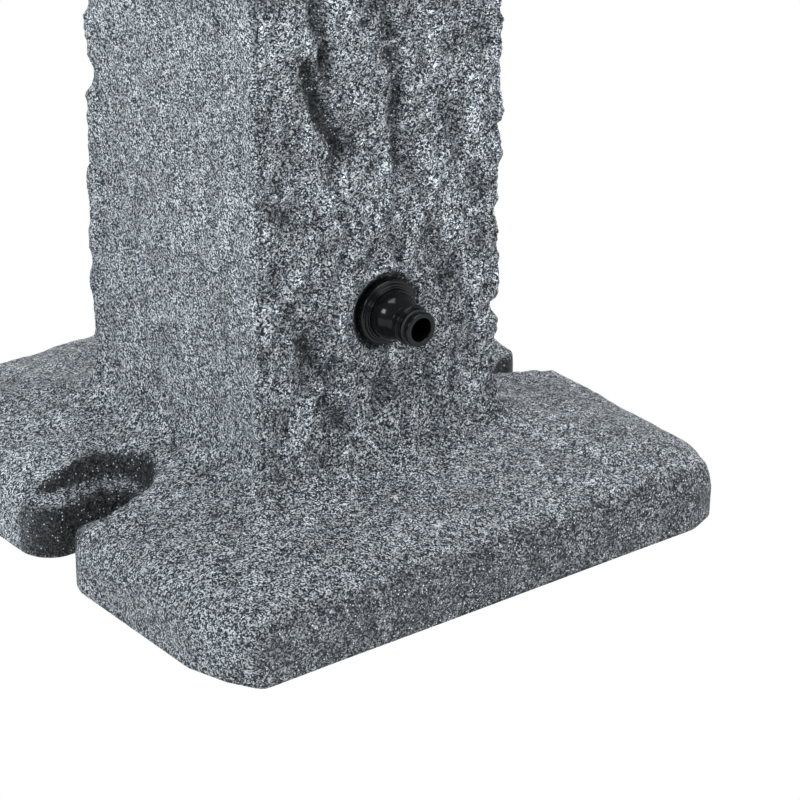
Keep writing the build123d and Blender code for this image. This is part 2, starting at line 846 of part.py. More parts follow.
with BuildPart() as tap_lock_nut:
    nut(front, tap_seat, lock_nut_length, lock_nut_flats, bulkhead_shank)
tap_lock_nut.part.label = "tap_lock_nut"
export_step(tap_lock_nut.part, "parts/tap_lock_nut.step")

# Riser hose inside the post, from barb to barb
riser_start = inlet_height + barb_shoulder
riser_end = tap_height - barb_shoulder
riser_points = [
    (line_shift, inlet_leg, riser_start),
    (line_shift, inlet_leg, riser_start + riser_lead),
    (line_shift, -bulkhead_leg, riser_end - riser_lead),
    (line_shift, -bulkhead_leg, riser_end),
]
riser_turn = atan2(inlet_leg + bulkhead_leg, riser_end - riser_start - 2 * riser_lead)
riser_radius = riser_arc_share * riser_lead / tan(riser_turn / 2)
print("riser hose bend radius", round(riser_radius))
with BuildPart() as riser_hose:
    with BuildLine():
        FilletPolyline(*riser_points, radius=riser_radius)
    with BuildSketch(Plane(origin=riser_points[0])):
        Circle(hose_width / 2)
        Circle(hose_bore / 2, mode=Mode.SUBTRACT)
    sweep()
riser_hose.part.label = "riser_hose"
export_step(riser_hose.part, "parts/riser_hose.step")

# Worm-drive clamps over both barbs
clamp_heights = (riser_start + clamp_seat, riser_end - clamp_seat - clamp_width)
clamp_reaches = (inlet_leg, -bulkhead_leg)
housing_middle = (hose_width + clamp_housing_height) / 2 + clamp_band
with BuildPart() as lower_clamp:
    clamp(clamp_heights[0], clamp_reaches[0])
lower_clamp.part.label = "lower_clamp"
export_step(lower_clamp.part, "parts/lower_clamp.step")

with BuildPart() as upper_clamp:
    clamp(clamp_heights[1], clamp_reaches[1])
upper_clamp.part.label = "upper_clamp"
export_step(upper_clamp.part, "parts/upper_clamp.step")

with BuildPart() as clamp_screws:
    for height, reach in zip(clamp_heights, clamp_reaches):
        along_screw = clamp_screw_plane(height, reach)
        disc(along_screw, -clamp_screw_length / 2, clamp_screw_length, clamp_screw)
        disc(along_screw, clamp_screw_length / 2, clamp_head_length, clamp_head)
clamp_screws.part.label = "clamp_screws"
export_step(clamp_screws.part, "parts/clamp_screws.step")

# Dished rosette over the lock nut
with BuildPart() as tap_rosette:
    for inset, mode in ((0, Mode.ADD), (rosette_wall, Mode.SUBTRACT)):
        rim = rosette_width / 2 - inset
        side_end = tap_seat + rosette_side
        top = tap_seat + rosette_depth - inset
        with BuildSketch(front_turning):
            with BuildLine():
                side_line = Polyline((tap_seat, 0), (tap_seat, rim), (side_end, rim))
                crown = TangentArc(side_line @ 1, (top, rim - top + side_end), tangent=(1, 0))
                Polyline(crown @ 1, (top, 0), (tap_seat, 0))
            make_face()
        revolve(axis=Axis(front_turning.origin, front_turning.x_dir), mode=mode)
    disc(front, tap_seat, rosette_depth + overrun, rosette_mouth, mode=Mode.SUBTRACT)
tap_rosette.part.label = "tap_rosette"
export_step(tap_rosette.part, "parts/tap_rosette.step")

# Inlet half of the tap: thread, collar, hexagon and the union thread
with BuildPart() as tap_tailpiece:
    disc(front, tail_start, tail_engagement, tail_thread)
    disc(front, bulkhead_end, tail_collar_length, tail_collar)
    with BuildSketch(front.offset(tail_hex_start)):
        RegularPolygon(tail_hex / 2, 6, major_radius=False)
    extrude(amount=tail_hex_length)
    disc(front, body_start, union_length, union_thread)
    tail_length = body_start + union_length - tail_start
    disc(front, tail_start, tail_length, spout_bore, mode=Mode.SUBTRACT)
tap_tailpiece.part.label = "tap_tailpiece"
export_step(tap_tailpiece.part, "parts/tap_tailpiece.step")

# Outlet half of the tap: ball chamber, bent spout, outlet thread and stem boss
ball_centre = (line_shift, -ball_reach, tap_height)
with BuildLine(mode=Mode.PRIVATE) as spout_path:
    spout_line = Line(ball_centre, (line_shift, -ball_reach - spout_lead, tap_height))
    spout_bend = TangentArc(
        spout_line @ 1,
        (line_shift, -outlet_reach, tap_height - spout_radius),
        tangent=(0, -1, 0),
    )
    Line(spout_bend @ 1, (line_shift, -outlet_reach, outlet_end))
with BuildPart() as tap_body:
    nose_start = ball_reach + ball_standoff
    turn(
        front_turning,
        [
            (body_start, 0),
            (body_start, chamber_width / 2 - chamber_chamfer),
            (body_start + chamber_shoulder, chamber_width / 2),
            (nose_start, chamber_width / 2),
            (nose_start + chamber_nose, spout_width / 2),
            (nose_start + chamber_nose, 0),
        ],
    )
    with BuildSketch(front.offset(ball_reach)):
        Circle(spout_width / 2)
    sweep(path=spout_path.line)
    outlet_up = Plane(origin=(line_shift, -outlet_reach, outlet_end))
    disc(outlet_up, 0, outlet_thread_length, outlet_thread)
    disc(outlet_up, outlet_thread_length, outlet_collar_length, outlet_collar)
    disc(stem_up, 0, stem_boss_height, stem_boss)
    with BuildSketch(stem_up.offset(stop_base_height)):
        with PolarLocations(0, 1, start_angle=stop_angle):
            with Locations(((stop_outer + stem_width) / 4, 0)):
                Rectangle((stop_outer - stem_width) / 2, stop_width)
    extrude(amount=stop_arm_height)
    with BuildSketch(stem_up.offset(stop_base_height)):
        with PolarLocations(0, 1, start_angle=stop_angle):
            with Locations(((stop_outer + stop_inner) / 4, 0)):
                Rectangle((stop_outer - stop_inner) / 2, stop_width)
    extrude(amount=lever_top + stop_head - stop_base_height)
    disc(front, body_start, union_length, union_thread, mode=Mode.SUBTRACT)
    chamber_start = body_start + union_length
    disc(front, chamber_start, 2 * ball_standoff, chamber_bore, mode=Mode.SUBTRACT)
    with BuildSketch(front.offset(ball_reach)):
        Circle(spout_bore / 2)
    sweep(path=spout_path.line, mode=Mode.SUBTRACT)
    flange_space = stem_flange_height + stem_flange_length + stem_part_gap
    disc(stem_up, 0, flange_space, stem_flange + 2 * stem_part_gap, mode=Mode.SUBTRACT)
    disc(stem_up, 0, stem_boss_height, stem_hole, mode=Mode.SUBTRACT)
    packing_start = stem_boss_height - packing_depth
    disc(stem_up, packing_start, packing_depth, packing_width, mode=Mode.SUBTRACT)
tap_body.part.label = "tap_body"
export_step(tap_body.part, "parts/tap_body.step")

# Soft seats on both sides of the ball
with BuildPart() as ball_seats:
    seat_starts = (ball_reach - ball_standoff, ball_reach + ball_standoff - seat_length)
    for seat_start in seat_starts:
        ring(front, seat_start, seat_length, seat_width, seat_mouth)
    with Locations(ball_centre):
        Sphere(ball_width / 2 + running_gap, mode=Mode.SUBTRACT)
ball_seats.part.label = "ball_seats"
export_step(ball_seats.part, "parts/ball_seats.step")

# Ball, shut: its bore lies across the flow and its slot along it
with BuildPart() as tap_ball:
    with Locations(ball_centre):
        Sphere(ball_width / 2)
    across = Plane(origin=ball_centre, x_dir=(0, 1, 0), z_dir=(1, 0, 0))
    disc(across, -ball_width / 2, ball_width, ball_bore, mode=Mode.SUBTRACT)
    slot_floor = ball_width / 2 - ball_slot_depth
    with BuildSketch(stem_up.offset(slot_floor)):
        Rectangle(ball_slot_width, ball_width)
    extrude(amount=ball_slot_depth, mode=Mode.SUBTRACT)
tap_ball.part.label = "tap_ball"
export_step(tap_ball.part, "parts/tap_ball.step")

# Stem with its tang in the ball's slot and two flats under the lever's nut
with BuildPart() as tap_stem:
    flange_top = stem_flange_height + stem_flange_length
    turn(
        stem_turning,
        [
            (stem_flange_height, 0),
            (stem_flange_height, stem_flange / 2),
            (flange_top, stem_flange / 2),
            (flange_top, stem_width / 2),
            (lever_top, stem_width / 2),
            (lever_top, stem_thread / 2),
            (lever_top + lever_nut_length + stem_end, stem_thread / 2),
            (lever_top + lever_nut_length + stem_end, 0),
        ],
    )
    tang_start = slot_floor + stem_tang_gap
    with BuildSketch(stem_up.offset(tang_start)):
        Rectangle(stem_tang_width, stem_tang_length)
    extrude(amount=stem_flange_height - tang_start)
    with BuildSketch(stem_up.offset(lever_base)):
        Rectangle(stem_width, stem_width)
        Rectangle(stem_width, stem_flats, mode=Mode.SUBTRACT)
    extrude(amount=lever_thickness, mode=Mode.SUBTRACT)
tap_stem.part.label = "tap_stem"
export_step(tap_stem.part, "parts/tap_stem.step")

with BuildPart() as stem_packing:
    ring(stem_up, packing_start, packing_length, packing_width, stem_hole)
stem_packing.part.label = "stem_packing"
export_step(stem_packing.part, "parts/stem_packing.step")

with BuildPart() as gland_nut:
    gland_start = packing_start + packing_length
    ring(stem_up, gland_start, stem_boss_height - gland_start, packing_width, stem_hole)
    nut(stem_up, stem_boss_height, gland_head, gland_flats, stem_hole)
gland_nut.part.label = "gland_nut"
export_step(gland_nut.part, "parts/gland_nut.step")

# Lever plate: a hub with a quarter-turn notch round the stop, and a cranked arm
stop_half_angle = degrees(atan2(stop_width, stop_inner)) + stop_clearance_angle
notch_start = stop_angle - stop_half_angle
notch_end = stop_angle + stop_half_angle + quarter_turn
with BuildPart() as tap_lever:
    with BuildSketch(stem_up.offset(lever_base)):
        Circle(lever_hub / 2)
        notch_angles = (notch_start, (notch_start + notch_end) / 2, notch_end)
        with BuildLine():
            Polyline(
                (0, 0),
                *[
                    (lever_hub * cos(radians(angle)), lever_hub * sin(radians(angle)))
                    for angle in notch_angles
                ],
                close=True,
            )
        make_face(mode=Mode.SUBTRACT)
        Circle(lever_notch / 2)
    extrude(amount=lever_thickness)
    arm_height = lever_base + lever_thickness / 2
    with BuildSketch(front.offset(ball_reach)):
        with BuildLine():
            FilletPolyline(
                (stem_width / 2 + lever_thickness, arm_height),
                (lever_flat, arm_height),
                (lever_flat + lever_crank, arm_height + lever_lift),
                (lever_length, arm_height + lever_lift),
                radius=lever_bend,
            )
        trace(line_width=lever_thickness)
    extrude(amount=lever_width / 2, both=True)
    with BuildSketch(stem_up.offset(lever_base)):
        Circle(stem_width / 2)
        with Locations((0, (stem_width + stem_flats) / 4), (0, -(stem_width + stem_flats) / 4)):
            Rectangle(stem_width, (stem_width - stem_flats) / 2, mode=Mode.SUBTRACT)
    extrude(amount=lever_thickness, mode=Mode.SUBTRACT)
tap_lever.part.label = "tap_lever"
export_step(tap_lever.part, "parts/tap_lever.step")

# Moulded grip pushed over the lever's end
with BuildPart() as lever_grip:
    grip_start = lever_length + grip_overhang - grip_length
    grip_plane = Plane(
        origin=(line_shift + grip_start, -ball_reach, tap_height + arm_height + lever_lift),
        x_dir=(0, 1, 0),
        z_dir=(1, 0, 0),
    )
    with BuildSketch(grip_plane):
        RectangleRounded(grip_width, grip_height, grip_round)
    extrude(amount=grip_length)
    ends = lever_grip.faces().sort_by(Axis.X)
    fillet(ends[0].edges() + ends[-1].edges(), grip_end_round)
    with BuildSketch(grip_plane):
        Rectangle(lever_width + 2 * grip_gap, lever_thickness + 2 * grip_gap)
    extrude(amount=lever_length - grip_start + grip_gap, mode=Mode.SUBTRACT)
lever_grip.part.label = "lever_grip"
export_step(lever_grip.part, "parts/lever_grip.step")

with BuildPart() as lever_nut:
    nut(stem_up, lever_top, lever_nut_length, lever_nut_flats, stem_thread)
lever_nut.part.label = "lever_nut"
export_step(lever_nut.part, "parts/lever_nut.step")

# Hose connector screwed under the spout
with BuildPart() as outlet_connector:
    nut_top = outlet_gap - outlet_thread_length
    nut_bottom = nut_top + outlet_nut_length
    shoulder_end = nut_bottom + outlet_shoulder_length
    outlet_tip = shoulder_end + tip_length
    turn(
        outlet_turning,
        tip_points(outlet_tip)
        + [
            (shoulder_end, outlet_shoulder / 2),
            (nut_bottom, outlet_nut / 2 - outlet_nut_chamfer),
            (nut_bottom - outlet_nut_chamfer, outlet_nut / 2),
            (nut_top, outlet_nut / 2),
            (nut_top, outlet_thread / 2),
            (outlet_washer_thickness, outlet_thread / 2),
            (outlet_washer_thickness, tip_bore / 2),
        ],
    )
    with BuildSketch(outlet_up.offset(-nut_bottom + outlet_nut_chamfer)):
        with PolarLocations(outlet_nut / 2, outlet_rib_count):
            Circle(outlet_rib_width / 2)
        Circle(outlet_nut / 2 - outlet_nut_chamfer, mode=Mode.SUBTRACT)
    extrude(amount=outlet_nut_length - 2 * outlet_nut_chamfer)
outlet_connector.part.label = "outlet_connector"
export_step(outlet_connector.part, "parts/outlet_connector.step")

with BuildPart() as outlet_washer:
    ring(
        outlet_up,
        -outlet_washer_thickness,
        outlet_washer_thickness,
        outlet_thread,
        outlet_washer_bore,
    )
outlet_washer.part.label = "outlet_washer"
export_step(outlet_washer.part, "parts/outlet_washer.step")

with BuildPart() as outlet_oring:
    tip_ring(outlet_turning, outlet_tip)
outlet_oring.part.label = "outlet_oring"
export_step(outlet_oring.part, "parts/outlet_oring.step")
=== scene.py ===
from math import asin, atan2, cos, hypot, pi, radians, sin

import bmesh
import bpy
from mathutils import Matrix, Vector, noise


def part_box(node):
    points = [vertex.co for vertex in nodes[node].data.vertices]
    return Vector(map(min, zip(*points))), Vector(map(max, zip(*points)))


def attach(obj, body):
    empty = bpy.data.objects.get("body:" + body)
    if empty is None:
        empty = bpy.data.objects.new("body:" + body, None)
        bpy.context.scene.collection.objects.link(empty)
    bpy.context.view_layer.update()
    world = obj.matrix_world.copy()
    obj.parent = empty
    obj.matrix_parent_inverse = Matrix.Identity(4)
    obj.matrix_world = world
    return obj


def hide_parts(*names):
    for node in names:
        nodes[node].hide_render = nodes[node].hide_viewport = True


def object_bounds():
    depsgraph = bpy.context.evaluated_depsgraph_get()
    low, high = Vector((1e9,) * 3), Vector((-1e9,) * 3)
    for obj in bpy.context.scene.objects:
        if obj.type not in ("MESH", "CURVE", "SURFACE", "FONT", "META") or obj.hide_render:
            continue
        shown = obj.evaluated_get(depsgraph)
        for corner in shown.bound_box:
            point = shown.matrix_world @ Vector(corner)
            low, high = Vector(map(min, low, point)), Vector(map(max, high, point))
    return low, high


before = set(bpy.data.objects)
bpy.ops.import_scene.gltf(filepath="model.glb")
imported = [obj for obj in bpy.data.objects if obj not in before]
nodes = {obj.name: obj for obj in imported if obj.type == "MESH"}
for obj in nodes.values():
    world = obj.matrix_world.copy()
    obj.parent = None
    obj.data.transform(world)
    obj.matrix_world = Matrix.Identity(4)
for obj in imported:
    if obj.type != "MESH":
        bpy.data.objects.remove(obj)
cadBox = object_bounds()
print("frame loaded:", len(nodes), "nodes")

mm = 0.001
up = Vector((0, 0, 1))

# the camera stands where the photo was taken
view = {
    "azimuth": 142.8,
    "elevation": 26.0,
    "distance": 1.80789,
    "across": 0.04659,  # how far the camera is moved to its right
    "height": 0.04156,
    "lens": 180,
    "sensor": 36,
    "clip": (0.05, 30),
}


def makeCamera():
    turn, tilt = radians(view["azimuth"]), radians(view["elevation"])
    back = Vector((sin(turn) * cos(tilt), -cos(turn) * cos(tilt), sin(tilt)))
    right = Vector((cos(turn), sin(turn), 0))
    data = bpy.data.cameras.new("camera")
    data.sensor_width = view["sensor"]
    data.lens = view["lens"]
    data.clip_start, data.clip_end = view["clip"]
    camera = bpy.data.objects.new("camera", data)
    camera.rotation_euler = back.to_track_quat("Z", "Y").to_euler()
    camera.location = up * view["height"] + right * view["across"] + back * view["distance"]
    bpy.context.scene.collection.objects.link(camera)
    bpy.context.scene.camera = camera
    return right, back


def newMaterial(name):
    material = bpy.data.materials.new(name)
    material.use_nodes = True
    tree = material.node_tree
    shader = tree.nodes["Principled BSDF"]
    return material, tree, shader


def addNode(tree, kind, inputs=None, **settings):
    node = tree.nodes.new(kind)
    for key, value in settings.items():
        setattr(node, key, value)
    for key, value in (inputs or {}).items():
        if isinstance(value, bpy.types.NodeSocket):
            tree.links.new(value, node.inputs[key])
        else:
            node.inputs[key].default_value = value
    return node


def ramp(tree, fac, stops):
    node = addNode(tree, "ShaderNodeValToRGB", {"Fac": fac})
    points = node.color_ramp.elements
    while len(points) < len(stops):
        points.new(0.5)
    for point, (spot, value) in zip(points, stops):
        point.position = spot
        point.color = (*value, 1)
    return node.outputs["Color"]


def grey(value):
    return (value, value, value)


def place(tree, scale=(1, 1, 1), turn=(0, 0, 0)):
    spot = addNode(tree, "ShaderNodeTexCoord").outputs["Object"]
    inputs = {"Vector": spot, "Scale": scale, "Rotation": turn}
    return addNode(tree, "ShaderNodeMapping", inputs).outputs["Vector"]


def noiseField(tree, vector, scale, detail=2.0, rough=0.5):
    inputs = {"Vector": vector, "Scale": scale, "Detail": detail, "Roughness": rough}
    return addNode(tree, "ShaderNodeTexNoise", inputs).outputs["Fac"]


def cellField(tree, vector, scale):  # two random values of each cell, and the way to its middle
    cells = addNode(tree, "ShaderNodeTexVoronoi", {"Vector": vector, "Scale": scale})
    split = addNode(tree, "ShaderNodeSeparateColor", {"Color": cells.outputs["Color"]})
    return split.outputs["Red"], split.outputs["Green"], cells.outputs["Distance"]


def attribute(tree, name):
    return addNode(tree, "ShaderNodeAttribute", attribute_name=name).outputs["Fac"]


def mathNode(tree, operation, first, second=0.0, clamp=False):
    node = addNode(tree, "ShaderNodeMath", {0: first, 1: second}, operation=operation)
    node.use_clamp = clamp
    return node.outputs[0]


def times(tree, first, second, clamp=False):
    return mathNode(tree, "MULTIPLY", first, second, clamp)


def mixColor(tree, fac, first, second, mode="MIX"):
    inputs = {0: fac, 6: first, 7: second}
    return addNode(tree, "ShaderNodeMix", inputs, data_type="RGBA", blend_type=mode).outputs[2]


def bump(tree, shader, height, distance, before=None):
    inputs = {"Height": height, "Distance": distance, "Strength": 1.0}
    if before:
        inputs["Normal"] = before
    node = addNode(tree, "ShaderNodeBump", inputs)
    tree.links.new(node.outputs["Normal"], shader.inputs["Normal"])
    return node.outputs["Normal"]


def roughnessBetween(tree, shader, field, low, high):
    node = addNode(tree, "ShaderNodeMapRange", {"Value": field, "To Min": low, "To Max": high})
    tree.links.new(node.outputs["Result"], shader.inputs["Roughness"])


# granite-look plastic: all counts are per metre, all rises in metres
granite = {
    "coarse": 1540.0,
    "fine": 2600.0,
    "coarseShare": 0.68,
    "fineShare": 0.32,
    "tones": (  # a grain's color by its random value
        (0.26, (0.002, 0.004, 0.008)),
        (0.41, (0.036, 0.047, 0.064)),
        (0.515, (0.170, 0.202, 0.242)),
        (0.60, (0.450, 0.500, 0.560)),
        (0.69, (1.000, 1.000, 1.000)),
    ),
    "fleck": 980.0,
    "fleckCore": 0.34,
    "whiteAbove": 0.87,
    "whiteShare": 0.9,
    "white": (0.90, 0.95, 1.0, 1),
    "blackAbove": 0.86,
    "blackShare": 0.8,
    "black": (0.012, 0.014, 0.018, 1),
    # patches: count, detail and roughness, then the darkest and lightest share of the tone. The
    # dent and pit patches share their noise with the dent and pit bumps, so they are random tone
    # and also painted shade in the dents and painted light on the rises
    "slowPatch": ((38.0, 2.0, 0.55), (0.84, 1.14)),
    "dentToneAndShade": ((150.0, 4.0, 0.62), (0.52, 1.42)),
    "pitToneAndShade": ((300.0, 3.0, 0.6), (0.62, 1.36)),
    "patchEnds": (0.34, 0.66),
    "patchStrength": 0.8,
    "dentScale": (1, 1, 0.42),  # dents are longer than wide and lean
    "dentTurn": (0, 0.28, 0),
    # painted shade: where the painted-shade attribute is full, the tone is multiplied down to this
    # share
    "deepestPaintedShade": 0.10,  # what is left of the tone in the deepest shade
    "roughness": (0.36, 0.62),
    "specular": 0.45,
    "grainCrown": 0.5,
    "grainRise": 0.00040,
    "pitRise": 0.0022,
    "dentRise": 0.0070,
}


def makeGranite():
    material, tree, shader = newMaterial("granitePlastic")
    here = place(tree)
    coarse = cellField(tree, here, granite["coarse"])
    fine = cellField(tree, here, granite["fine"])
    larger = times(tree, coarse[0], granite["coarseShare"])
    grain = mathNode(tree, "ADD", larger, times(tree, fine[0], granite["fineShare"]))
    tone = ramp(tree, grain, granite["tones"])

    fleck = cellField(tree, here, granite["fleck"])
    core = mathNode(tree, "LESS_THAN", fleck[2], granite["fleckCore"])
    white = times(tree, core, mathNode(tree, "GREATER_THAN", fleck[0], granite["whiteAbove"]))
    black = times(tree, core, mathNode(tree, "GREATER_THAN", fleck[1], granite["blackAbove"]))
    tone = mixColor(tree, times(tree, black, granite["blackShare"]), tone, granite["black"])

    uneven = attribute(tree, "uneven")
    leaning = place(tree, granite["dentScale"], granite["dentTurn"])
    strength = times(tree, uneven, granite["patchStrength"], clamp=True)
    fields = []
    # the slow patches are random tone; the dent and pit patches are random tone plus painted shade
    # in the bumps' dents and painted light on their rises
    for key, spot in (("slowPatch", here), ("dentToneAndShade", leaning), ("pitToneAndShade", here)):
        settings, shares = granite[key]
        field = noiseField(tree, spot, *settings)
        stops = [(end, grey(share)) for end, share in zip(granite["patchEnds"], shares)]
        mottledAndShaded = mixColor(tree, 1.0, tone, ramp(tree, field, stops), "MULTIPLY")
        tone = mixColor(tree, strength, tone, mottledAndShaded)
        fields.append(field)
    dents, pits = fields[1:]

    # painted shade: the per-vertex painted-shade attribute from the relief darkens the tone; the
    # white flecks are laid on afterwards and are not darkened
    stops = [(0.0, grey(1.0)), (1.0, grey(granite["deepestPaintedShade"]))]
    shade = ramp(tree, attribute(tree, "paintedShade"), stops)
    tone = mixColor(tree, 1.0, tone, shade, "MULTIPLY")
    tone = mixColor(tree, times(tree, white, granite["whiteShare"]), tone, granite["white"])
    tree.links.new(tone, shader.inputs["Base Color"])
    roughnessBetween(tree, shader, coarse[1], *granite["roughness"])
    shader.inputs["Specular IOR Level"].default_value = granite["specular"]

    dented = bump(tree, shader, times(tree, dents, uneven), granite["dentRise"])
    pitted = bump(tree, shader, times(tree, pits, uneven), granite["pitRise"], dented)
    crowns = mathNode(tree, "ADD", grain, times(tree, coarse[2], granite["grainCrown"]))
    bump(tree, shader, crowns, granite["grainRise"], pitted)
    return material


# relief of the hewn post, foot and cap, in mm; pairs say where a share starts and where it is full
relief = {
    "postHeight": (31, 54),  # the foot's calm surface goes over into the post's
    "faceTurn": (0.3, 0.75),
    "frontShare": 0.85,
    "sideShare": 0.7,
    "vigour": 0.85,
    "struckVigour": 0.35,
    "calmVigour": 0.45,
    "swell": 0.6,  # makes up for the rounding of the arrises
    "warps": ((26.0, 7.0), (8.0, 1.6)),  # size and reach
    "chunkLean": 0.25,
    "chunk": (23.0, 23.0, 44.0),  # a struck chunk across and along the post
    "chunkStep": 1.5,
    "chunkSeam": 0.7,
    "chunkSeed": 9.1,
    "scale": (9.5, 9.5, 13.0),  # the smaller chips inside a chunk
    "scaleStep": 1.2,
    "scaleSeam": 0.45,
    "scaleSeed": 31.7,
    "seamWidth": 0.2,
    "tilt": 1.5,
    "fine": 0.5,
    "fineSize": 6.5,
    "footRelief": 0.9,
    "footSize": 22.0,
    "streakRise": 2.2,  # the leaning ridges of the struck faces
    "streakLean": 0.32,
    "streakSize": (7.0, 9.0, 21.0),
    "arris": (56, 63),
    "arrisChip": 5.0,
    "arrisChipSizes": (17.0, 7.5),
    "nearArris": 1.6,  # swell of the arris at the photo's left, at its right, and of the others
    "farArris": 0.3,
    "arrisSwell": 1.2,
    "flare": (28, 36, 60, 84),  # the foot's rise into the post
    "crease": 1.4,
    "creaseFrom": 0.9,
    "crackBelow": 430,
    # painted shade per mm of crack depth
    "crackShade": 0.18,
    "seed": 7,
}

noise.seed_set(relief["seed"])  # without it noise_vector gives other values in each run

# painted shade: how dark the colour is painted in sunk places, seams, creases, cracks, the slots
# and on rear-facing sides
shades = {
    "chunkSeam": 0.16,
    "scaleSeam": 0.10,
    "sunkChunk": 0.14,
    "sunkStreak": 0.16,
    "crease": 0.12,
    "recess": 0.8,
    "slotWall": 2.76,
    "slotLedge": 0.5175,
    "slotHalf": (20.5, 23.5),
    "footRear": 0.34,
    "rearRise": 0.24,
    "rearLow": 0.16,
}

# seats of the fittings, in mm
seats = {
    "ground": (1.0, 9.0),
    "inlet": (-2.5, 108.7),  # x and z of its middle
    "inletClear": (18.4, 23.0),
    "inletRecess": (17.0, 18.6),
    "tap": (-2.5, 860.0),
    "tapClear": (32.0, 38.0),
    "capScrew": (30.0, 922.5),  # y and z on both sides
    "screwClear": (6.0, 10.0),
    "slotMiddle": 2.0,
    "slotFrom": 76.0,
    "slotClear": (19.0, 25.0),
    "slotRelief": 0.3,
    "footTop": 60.0,
    "faceFrom": 45.0,
}

# deep cracks of the rear face: points (x, z) in mm, then half width and depth
rearCracks = [
    ([(44, 306), (38, 284), (34, 265), (29, 240), (26, 227)], 3.4, 4.6),
    ([(36, 228), (32, 215), (28, 205), (23, 197), (18, 188)], 4.2, 5.6),
    ([(-6, 226), (-11, 205), (-10, 190), (-12, 174)], 2.6, 3.6),
    ([(-18, 169), (-25, 156)], 3.0, 3.0),
    ([(1, 250), (-6, 236)], 3.6, 2.8),
    ([(-33, 228), (-36, 214)], 2.8, 2.4),
    ([(-37, 196), (-38, 181)], 3.0, 2.2),
    ([(-49, 163), (-52, 147)], 3.2, 2.4),
    ([(58, 170), (48, 163), (40, 156)], 4.0, 2.6),
    ([(-5, 142), (-10, 127)], 1.8, 2.2),
    ([(46, 117), (39, 102), (32, 90)], 5.5, 3.2),
    ([(45, 93), (37, 80)], 3.0, 2.2),
    ([(31, 73), (22, 60)], 3.6, 2.6),
    ([(3, 78), (-2, 65)], 2.8, 2.4),
    ([(-24, 80), (-28, 67)], 2.4, 1.8),
    ([(24, 146), (19, 131)], 2.8, 1.8),
    ([(-30, 134), (-36, 114)], 3.0, 2.0),
    ([(52, 350), (46, 330), (47, 312)], 3.0, 3.4),
    ([(-12, 330), (-20, 300), (-15, 280)], 3.2, 3.6),
    ([(20, 420), (12, 390), (16, 366)], 3.4, 4.0),
]


def smooth(low, high, value):
    t = min(1.0, max(0.0, (value - low) / (high - low)))
    return t * t * (3 - 2 * t)


def strokeDepth(x, z):
    deepest = 0.0
    for points, half, depth in rearCracks:
        for (x0, z0), (x1, z1) in zip(points, points[1:]):
            run, rise = x1 - x0, z1 - z0
            along = ((x - x0) * run + (z - z0) * rise) / (run ** 2 + rise ** 2)
            along = min(1.0, max(0.0, along))
            away = hypot(x - x0 - along * run, z - z0 - along * rise)
            deepest = max(deepest, depth * (1 - smooth(half * 0.15, half * 1.9, away)))
    return deepest


# tilted, stepped planes between seams, as a hammer leaves them
def brokenCells(spot, size, seed):
    scaled = Vector(a / b for a, b in zip(spot, size))
    distances, centres = noise.voronoi(scaled)
    centre = centres[0]
    slope = noise.noise_vector(centre * 3.7 + Vector((seed, 2.3, 5.5)))
    step = noise.noise(centre * 5.3 + Vector((seed, 0, 0)))
    seam = 1 - smooth(0.0, relief["seamWidth"], distances[1] - distances[0])
    return (scaled - centre).dot(slope) * relief["tilt"] + step, seam


# painted shade: the shade it returns darkens the colour in the seams and in the sunk cells
def brokenRelief(spot, vigour):  # height and shade of the broken stone
    warped = spot.copy()
    for size, reach in relief["warps"]:
        warped += noise.noise_vector(spot / size) * reach
    warped.x += relief["chunkLean"] * spot.z
    chunk, chunkSeam = brokenCells(warped, relief["chunk"], relief["chunkSeed"])
    scale, scaleSeam = brokenCells(warped, relief["scale"], relief["scaleSeed"])
    height = relief["chunkStep"] * chunk + relief["scaleStep"] * scale
    height -= relief["chunkSeam"] * chunkSeam + relief["scaleSeam"] * scaleSeam
    shade = shades["chunkSeam"] * chunkSeam + shades["scaleSeam"] * scaleSeam
    shade -= shades["sunkChunk"] * min(0.0, chunk)
    return height * vigour, shade * vigour


def streakField(spot):  # ridges that lean as they run down
    lean, (across, deep, along) = relief["streakLean"], relief["streakSize"]
    leaning = Vector(
        ((spot.x + lean * spot.z) / across, spot.y / deep, (spot.z - lean * spot.x) / along)
    )
    return noise.fractal(leaning + noise.noise_vector(spot / 14.0) * 0.5, 0.75, 2.2, 3)


def arrisRelief(x, y, z):
    across = Vector((x / 60.0, y / 60.0, 0))
    larger, smaller = relief["arrisChipSizes"]
    chips = noise.noise(across + Vector((0, 0, z / larger)))
    chips += 0.5 * noise.noise(across + Vector((7, 0, z / smaller)))
    share = relief["farArris"] if x < 0 < y else relief["nearArris"] if y < 0 < x else 1.0
    height = relief["arrisSwell"] * share - max(0.0, chips - 0.02) * relief["arrisChip"]
    return height * smooth(*relief["arris"], min(abs(x), abs(y)))


def creaseField(x, y, z):  # creases that run up the flare
    low, lowFull, highFull, high = relief["flare"]
    around = Vector((atan2(y, x) * 6.0, hypot(x, y) / 70.0, z / 50.0))
    creases = noise.ridged_multi_fractal(around, 0.9, 2.1, 3, 1.0, 2.0)
    flare = smooth(low, lowFull, z) * (1 - smooth(highFull, high, z))
    return flare * max(0.0, creases - relief["creaseFrom"])


